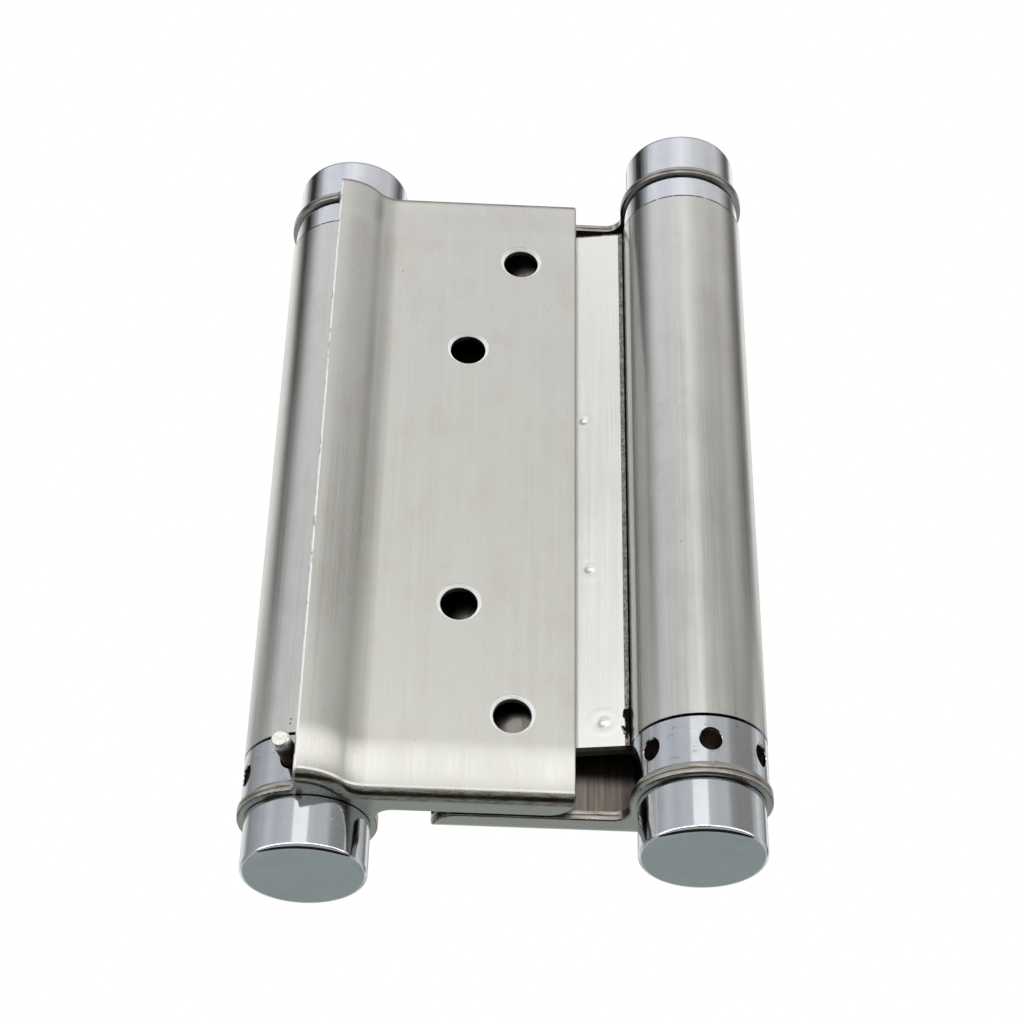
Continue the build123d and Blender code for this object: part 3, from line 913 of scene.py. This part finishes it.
class HINGE_OT_studio(Operator):
    """Adds the pale floor, the room light, the key lamp and the camera"""

    bl_idname = "hinge.studio"
    bl_label = "Studio"

    def execute(self, context):
        settings = context.scene.hinge_studio
        self.floor(context, settings)
        self.room(context, settings)
        self.lamp(context, settings)
        self.camera(context)
        context.scene.view_settings.view_transform = "Standard"
        return {"FINISHED"}

    def floor(self, context, settings):
        """A plain pale floor, well under the hinge, as the camera looks up at it."""
        half = settings.floor_size / 2
        z = -settings.floor_drop
        mesh = bpy.data.meshes.new("studio_floor")
        corners = [(-half, -half, z), (half, -half, z), (half, half, z), (-half, half, z)]
        mesh.from_pydata(corners, [], [(0, 1, 2, 3)])
        material, tree, place = new_material("painted_floor")
        mottle = grain(tree, place, (0.2, 0.2, 0.2), detail=2.0)
        colour = tint(tree, spread(tree, mottle, 0.3, 0.7, 0.0, 0.04), settings.floor_colour, "#FFFFFF")
        pale = node(tree, "ShaderNodeBsdfPrincipled", {"Base Color": colour, "Roughness": 0.8, "IOR": 1.45})
        away = node(tree, "ShaderNodeVectorMath", {0: place}, operation="LENGTH").outputs["Value"]
        beyond = spread(tree, away, *SHADED_FLOOR)
        colour = tint(tree, beyond, settings.floor_bounce, settings.floor_colour)
        ahead = within(tree, axes(tree, place)["Y"], *DARK_STRIP_Y, 0.03)
        colour = tint(tree, ahead, colour, "#241E19")
        shaded = node(tree, "ShaderNodeBsdfDiffuse", {"Color": colour})
        seen = node(tree, "ShaderNodeLightPath").outputs["Is Glossy Ray"]
        shader = node(tree, "ShaderNodeMixShader", {0: seen, 1: pale.outputs[0], 2: shaded.outputs[0]})
        node(tree, "ShaderNodeOutputMaterial", {"Surface": shader.outputs[0]})
        mesh.materials.append(material)
        floor = bpy.data.objects.new("studio_floor", mesh)
        context.scene.collection.objects.link(floor)

    def room(self, context, settings):
        """White behind for the camera; for the metal the same white, with soft grey cards standing round."""
        world = bpy.data.worlds.new("white_room")
        world.use_nodes = True
        context.scene.world = world
        tree = world.node_tree
        tree.nodes.clear()
        way = axes(tree, node(tree, "ShaderNodeTexCoord").outputs["Generated"])
        up = way["Z"]
        front = times(tree, way["Y"], -1.0)
        turn = maths(tree, "MULTIPLY_ADD", maths(tree, "ARCTAN2", way["X"], front), 0.5 / radians(180), 0.5)
        low, high, top = (self.cards(tree, turn, stops) for stops in (LOW_CARDS, HIGH_CARDS, TOP_CARDS))
        seen = tint(tree, spread(tree, up, *HIGH_Z), low, high)
        seen = tint(tree, spread(tree, up, *TOP_Z), seen, top)
        lift = spread(tree, up, *TOP_Z, 1.0, TOP_GAIN)
        dim = times(tree, lift, spread(tree, up, *CEILING_Z, 1.0, CEILING_LEVEL))
        seen = node(tree, "ShaderNodeVectorMath", {0: seen, "Scale": dim}, operation="SCALE").outputs[0]
        horizon = times(tree, spread(tree, up, *HORIZON_Z[::-1]), spread(tree, front, 0.2, 0.7), 0.95)
        seen = tint(tree, horizon, seen, "#4A4038")
        above = spread(tree, up, *HORIZON_Z)
        ends = [0.5 + angle / 360 for angle in WINDOW_SIDES]
        window = times(tree, within(tree, turn, *ends, 4 / 360), spread(tree, up, *WINDOW_TOP_Z[::-1]), above)
        seen = tint(tree, window, seen, WINDOW_LEVEL)
        sill = times(tree, spread(tree, up, *SILL_Z[::-1]), above, spread(tree, front, -0.1, 0.25))
        seen = tint(tree, sill, seen, SILL_LEVEL)
        rays = node(tree, "ShaderNodeLightPath").outputs
        level = node(tree, "ShaderNodeBackground", {"Color": (1, 1, 1, 1), "Strength": settings.room_level})
        white = node(tree, "ShaderNodeBackground", {"Color": (1, 1, 1, 1), "Strength": 1.0})
        metal = node(tree, "ShaderNodeBackground", {"Color": seen, "Strength": 1.0})
        clear = maths(tree, "MAXIMUM", rays["Is Camera Ray"], rays["Is Transmission Ray"])
        shown = level.outputs[0]
        for ray, background in ((clear, white), (rays["Is Glossy Ray"], metal)):
            shown = node(tree, "ShaderNodeMixShader", {0: ray, 1: shown, 2: background.outputs[0]}).outputs[0]
        node(tree, "ShaderNodeOutputWorld", {"Surface": shown})

    def cards(self, tree, turn, stops):
        """A ring of cards, soft where they meet."""
        ramp = node(tree, "ShaderNodeValToRGB", {"Fac": turn})
        ramp.color_ramp.interpolation = "EASE"
        elements = ramp.color_ramp.elements
        while len(elements) < len(stops):
            elements.new(0.5)
        for element, (angle, colour) in zip(elements, stops):
            element.position = (angle + 180) / 360
            element.color = (*hex_colour(colour), 1)
        return ramp.outputs["Color"]

    def lamp(self, context, settings):
        """A large soft lamp at the front left, above the camera."""
        light = bpy.data.lights.new("key_softbox", "AREA")
        light.energy = settings.key_power
        light.shape = "RECTANGLE"
        light.size = 0.5
        light.size_y = 0.35
        lamp = bpy.data.objects.new("key_softbox", light)
        lamp.visible_glossy = False
        lamp.location = LAMP_PLACE
        lamp.rotation_euler = (radians(50), 0, atan2(LAMP_PLACE[0], -LAMP_PLACE[1]))
        context.scene.collection.objects.link(lamp)

    def camera(self, context):
        """The photograph's view: from low in front, looking up along the hinge."""
        lens = bpy.data.cameras.new("photo_view")
        lens.lens = LENS
        lens.sensor_width = SENSOR_WIDTH
        lens.clip_start = 0.01
        lens.clip_end = 20.0
        camera = bpy.data.objects.new("photo_view", lens)
        camera.location = VIEW_PLACE
        camera.rotation_euler = [radians(angle) for angle in VIEW_TURN]
        context.scene.collection.objects.link(camera)
        context.scene.camera = camera


class HINGE_PT_panel(Panel):
    bl_idname = "HINGE_PT_panel"
    bl_label = "Spring Hinge"
    bl_space_type = "VIEW_3D"
    bl_region_type = "UI"
    bl_category = "Spring Hinge"

    def draw(self, context):
        layout = self.layout
        for group in (context.scene.hinge_finish, context.scene.hinge_studio):
            column = layout.column()
            for name in group.__annotations__:
                column.prop(group, name)
        for operator in OPERATORS:
            layout.operator(operator.bl_idname)


OPERATORS = (
    HINGE_OT_sheet_steel,
    HINGE_OT_chrome_parts,
    HINGE_OT_inner_parts,
    HINGE_OT_spot_welds,
    HINGE_OT_studio,
)
CLASSES = (HingeFinishSettings, HingeStudioSettings, *OPERATORS, HINGE_PT_panel)


def register():
    for cls in CLASSES:
        bpy.utils.register_class(cls)
    bpy.types.Scene.hinge_finish = PointerProperty(type=HingeFinishSettings)
    bpy.types.Scene.hinge_studio = PointerProperty(type=HingeStudioSettings)


def unregister():
    del bpy.types.Scene.hinge_studio
    del bpy.types.Scene.hinge_finish
    for cls in reversed(CLASSES):
        bpy.utils.unregister_class(cls)


def main():
    register()
    bpy.ops.hinge.sheet_steel()
    bpy.ops.hinge.chrome_parts()
    bpy.ops.hinge.inner_parts()
    bpy.ops.hinge.spot_welds()
    bpy.ops.hinge.studio()


if __name__ == "__main__":
    main()
